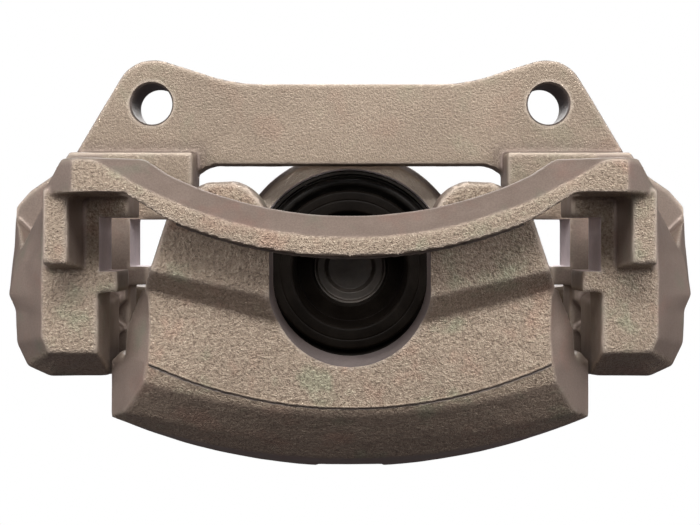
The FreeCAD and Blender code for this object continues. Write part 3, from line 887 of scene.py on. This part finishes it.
def piston():
    """A cup with a boot groove round it, a rounded mouth and a stepped floor."""
    front = PISTON_FRONT
    groove = front + 4.0
    floor = front + 33
    floor_edge_r = 14.6
    profile = [
        (0, PISTON_BACK),
        (PISTON_R - 1.5, PISTON_BACK),
        (PISTON_R, PISTON_BACK - 3),
        (PISTON_R, groove + 2.5),
        (PISTON_R - 2, groove + 2.5),
        (PISTON_R - 2, groove),
        (PISTON_R, groove),
        (PISTON_R, front + 0.8),
        (PISTON_R - 0.8, front),
        (26.6, front),
        (26.3, front + 0.25),
        (25.9, front),
        (22.4, front),
        (21.6, front + 0.8),
        (21.0, floor - 8),
        (15.0, floor - 10),
        (14.4, floor - 1.4),
        (13.8, floor - 1.4),
        (13.2, floor),
        (10.3, floor),
        (8.9, floor + 2),
        (0, floor + 2),
    ]
    shape = spun_shape(rounded(profile, 0.35), PISTON_X, PISTON_Z, 192)
    obj = riding_piece("piston_cup", "piston", shape, "phenolic")
    obj.data.materials.append(MATERIALS["moulded_floor"])
    for face in obj.data.polygons:
        x, y, z = face.center * 1000
        if floor - 2 < y < floor + 3 and math.hypot(x - PISTON_X, z - PISTON_Z) < floor_edge_r:
            face.material_index = 1


def piston_boot():
    """The dust boot: a bead in the piston's groove, one deep fold and a bead under the ring."""
    r = PISTON_R
    lip = PISTON_FRONT + 4.0
    profile = [
        (r - 1.8, lip + 0.3),
        (r + 0.3, lip + 0.3),
        (r + 1.2, lip - 0.4),
        (r + 2.2, lip - 2.6),
        (r + 4.0, lip - 2.8),
        (r + 5.0, -3.0),
        (r + 5.6, -1.5),
        (r + 6.1, -1.5),
        (r + 6.1, 5.7),
        (r + 4.3, 5.7),
        (r + 4.0, -2.0),
        (r + 3.0, -7.0),
        (r + 1.6, 1.5),
        (r + 0.6, 1.5),
        (r + 0.4, lip + 2.2),
        (r - 1.8, lip + 2.2),
    ]
    shape = spun_shape(rounded(profile, 0.7, 5, closed=True), PISTON_X, PISTON_Z, 192, closed=True)
    obj = piece("piston_dust_boot", "piston_boot", shape, "boot_rubber")
    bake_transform(obj)


def boot_ring():
    outer = COUNTERBORE_R - 0.05
    inner = outer - 1.65
    profile = [(inner, 5.8), (inner, -0.8), (outer, -0.8), (outer, 5.8)]
    shape = spun_shape(rounded(profile, 0.5, 5, closed=True), PISTON_X, PISTON_Z, 192, closed=True)
    riding_piece("boot_retainer_ring", "boot_ring", shape, "ring_steel")


def guide_pin(side):
    """A pin with a hexagon head; the left one has a thinner tip for its rubber sleeve."""
    head = PIN_BACK - 5.0
    flats = 17
    tip = [(0, PIN_TIP), (PIN_R - 1, PIN_TIP), (PIN_R, PIN_TIP + 1)]
    if side == "left":
        core_r = 4.4
        tip = [(0, PIN_TIP), (PIN_R - 0.8, PIN_TIP), (PIN_R - 0.4, PIN_TIP + 1), (core_r, PIN_TIP + 1)]
        tip += [(core_r, PIN_TIP + 15), (PIN_R, PIN_TIP + 15)]
    neck = [(PIN_R, head - 4.5), (PIN_R - 1, head - 4.5), (PIN_R - 1, head - 1.5)]
    neck += [(PIN_R, head - 1.5), (PIN_R, head)]
    hexagon = [(8.4, head, flats), (9.82, head + 0.9, flats)]
    hexagon += [(9.82, PIN_BACK - 0.3, flats), (9.3, PIN_BACK, flats)]
    profile = rounded(tip + neck, 0.25) + hexagon + [(0, PIN_BACK)]
    shape = on_side(spun_shape(profile, PIN_X, PIN_Z, 96), side)
    riding_piece("guide_pin_shaft_" + side, "guide_pin_" + side, shape, "pin_steel")


def guide_bolt(side):
    """A flanged hexagon bolt with a dished head."""
    y = ARM_BACK
    top = y + BOLT_HEAD
    flats = 13
    profile = [(0, 6), (3.2, 6), (4.0, 7), (4.0, y - 0.1), (8.8, y), (8.8, y + 0.5), (7.7, y + 1.7)]
    profile += [(7.5, y + 1.75, flats), (7.5, top - 1.6, flats), (7.2, top - 1.0, flats)]
    profile += [(6.2, top - 0.2, flats), (5.2, top), (4.4, top - 0.1), (4.0, top - 0.4), (0, top - 0.5)]
    shape = on_side(spun_shape(profile, PIN_X, PIN_Z, 144), side)
    riding_piece("guide_bolt_head_" + side, "guide_bolt_" + side, shape, "bolt_steel")


def pin_boot(side):
    """Bellows from the bead on the bracket's boss to the bead on the guide pin."""
    start = PIN_BOSS_END - 4.8
    folds, pitch, first = 3, 3.4, 3.4
    inner = [(PIN_BOSS_R - 1.9, start), (PIN_BOSS_R - 1.9, start + 2.6)]
    inner += [(PIN_BOSS_R + 0.2, start + 2.6), (PIN_BOSS_R + 0.2, 2.2)]
    outer = [(PIN_BOSS_R + 1.6, start), (PIN_BOSS_R + 1.6, first)]
    for k in range(folds):
        y = first + k * pitch
        inner += [(PIN_R + 2.4, y + 0.9), (PIN_R + 5.0, y + 0.9 + pitch / 2)]
        outer += [(PIN_R + 3.6, y + 0.9), (PIN_R + 6.2, y + 0.9 + pitch / 2)]
    inner += [(PIN_R + 1.2, 14.2), (PIN_R - 0.8, 14.8), (PIN_R - 0.8, 17.2)]
    outer += [(PIN_R + 2.6, 14.4), (PIN_R + 2.6, 17.2)]
    profile = rounded(inner + outer[::-1], 0.7, closed=True)
    shape = on_side(spun_shape(profile, PIN_X, PIN_Z, 112, closed=True), side)
    obj = piece("pin_bellows_" + side, "pin_boot_" + side, shape, "boot_rubber")
    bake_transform(obj)


def bleeder():
    """The bleeder screw: a cone seat, a shank, a hexagon and a drilled nipple."""
    y = BLEED_MOUTH
    flats = 10
    profile = [
        (0, y - 14.6),
        (0.6, y - 14.6),
        (3.0, y - 11),
        (3.0, y - 9),
        (4.0, y - 8),
        (4.0, y + 1),
        (4.6, y + 1.5, flats),
        (5.5, y + 2.0, flats),
        (5.77, y + 2.4, flats),
        (5.77, y + 7.0, flats),
        (5.4, y + 7.6, flats),
        (4.8, y + 8.0, flats),
        (3.3, y + 8.1),
        (3.3, y + 10),
        (2.4, y + 11.5),
        (2.5, y + 12.2),
        (3.4, y + 14),
        (2.6, y + 17),
        (1.0, y + 17),
        (1.0, y + 12),
        (0, y + 12),
    ]
    shape = spun_shape(profile, BLEED_X, BLEED_Z, 96)
    riding_piece("bleeder_nipple", "bleeder_screw", shape, "plated_steel")


def bleeder_cap():
    y = BLEED_MOUTH
    foot = y + CAP_FOOT
    profile = [
        (0, y + 17.4),
        (3.0, y + 17.4),
        (3.5, y + 16),
        (3.5, foot),
        (4.9, foot),
        (5.1, y + 9.2),
        (5.1, y + 10.6),
        (4.6, y + 11.2),
        (4.5, y + 12.2),
        (4.95, y + 12.8),
        (4.85, y + 18),
        (3.6, y + 20),
        (0, y + 20),
    ]
    shape = spun_shape(rounded(profile, 0.6), BLEED_X, BLEED_Z, 96)
    riding_piece("bleeder_dust_cap", "bleeder_cap", shape, "cap_rubber")


def carried_over():
    """CAD solids whose shape is final get their detailed material."""
    for node in ("piston_seal", "pin_bushing"):
        for slot in NODES[node].material_slots:
            slot.material = MATERIALS["seal_rubber"]


# ------------------------------------------------------------------ stage


def area_light(name, place, target, size, power, colour, spread=180):
    """A rectangle of light; spread is its cone in degrees."""
    data = bpy.data.lights.new(name, "AREA")
    data.shape = "RECTANGLE"
    data.size, data.size_y = size
    data.energy = power
    data.color = colour
    data.spread = math.radians(spread)
    light = bpy.data.objects.new(name, data)
    light.location = place
    light.rotation_euler = (Vector(target) - Vector(place)).to_track_quat("-Z", "Y").to_euler()
    bpy.context.scene.collection.objects.link(light)


def lights():
    """A soft key from above, fills all round, and a narrow beam on each outer tower."""
    middle = Vector((0, -0.03, -0.06))
    warm, side_tone = (1.0, 0.985, 0.965), (1.0, 0.975, 0.985)
    area_light("key", (0.0, -0.90, 0.74), middle, (1.1, 0.3), 15.1, warm)
    area_light("front_fill", (0.0, -1.3, 0.15), middle, (0.9, 0.6), 1.5, (1.0, 0.98, 0.96))
    for name, x in (("left", -1.1), ("right", 1.1)):
        area_light(name, (x, -0.45, 0.2), middle, (0.7, 0.7), 7.0, side_tone)
    for name, x in (("left_tower", -0.75), ("right_tower", 0.75)):
        tower = (x / 8.0, -0.085, -0.050)
        area_light(name, (x, -1.0, -0.01), tower, (0.16, 0.16), 0.0055, warm, spread=4)
    area_light("back", (0.0, 1.1, 0.6), middle, (1.0, 0.8), 9, (1.0, 0.99, 0.98))


def surroundings():
    """White to the camera, and a faint warm light on everything else."""
    world = bpy.data.worlds.new("studio")
    world.use_nodes = True
    tree = world.node_tree
    backdrop = tree.nodes["Background"]
    feed(tree, backdrop.inputs["Color"], (1, 1, 1))
    feed(tree, backdrop.inputs["Strength"], 1.0)
    soft = add(tree, "Background", Color=(1.0, 0.88, 0.94), Strength=0.088)
    seen = add(tree, "LightPath").outputs["Is Camera Ray"]
    mix = add(tree, "MixShader")
    for socket, value in zip(mix.inputs, (seen, soft.outputs[0], backdrop.outputs[0])):
        feed(tree, socket, value)
    feed(tree, tree.nodes["World Output"].inputs[0], mix.outputs[0])
    bpy.context.scene.world = world


def pale_floor():
    """A plain floor that neither lights the object nor shows in it."""
    height, half = -0.26, 0.30
    mesh = bpy.data.meshes.new("floor")
    corners = [(x, y, height) for x, y in ((-half, -half), (half, -half), (half, half), (-half, half))]
    mesh.from_pydata(corners, [], [(0, 1, 2, 3)])
    floor = bpy.data.objects.new("floor", mesh)
    bpy.context.scene.collection.objects.link(floor)
    floor.visible_diffuse = False
    floor.visible_glossy = False
    material, tree, shader, place = new_material("pale_floor")
    cloud = noise_value(tree, place, 60.0, 3.0, 0.5)
    colour = ramp(tree, cloud, [(0.3, 0.16), (0.7, 0.20)])
    sheen = ramp(tree, cloud, [(0.3, 0.7), (0.7, 0.8)])
    feed(tree, shader.inputs["Emission Color"], (1, 1, 1))
    feed(tree, shader.inputs["Emission Strength"], 0.94)
    finish_shader(tree, shader, colour, sheen, 0.0, cloud, 0.1, 0.5)
    mesh.materials.append(material)


def camera():
    """Level, straight on to the outboard side; the picture's middle is a little below the lens."""
    data = bpy.data.cameras.new("camera")
    data.sensor_width = 36.0
    data.lens = 56.211429
    data.shift_y = -0.04357143
    data.clip_start = 0.01
    obj = bpy.data.objects.new("camera", data)
    obj.location = (0, -0.420, -0.0469)
    obj.rotation_euler = (math.radians(90), 0, 0)
    bpy.context.scene.collection.objects.link(obj)
    bpy.context.scene.camera = obj
    bpy.context.scene.view_settings.view_transform = "Standard"


bracket()
housing()
piston()
piston_boot()
boot_ring()
bleeder()
bleeder_cap()
for side in ("left", "right"):
    guide_pin(side)
    guide_bolt(side)
    pin_boot(side)
carried_over()
lights()
surroundings()
pale_floor()
camera()
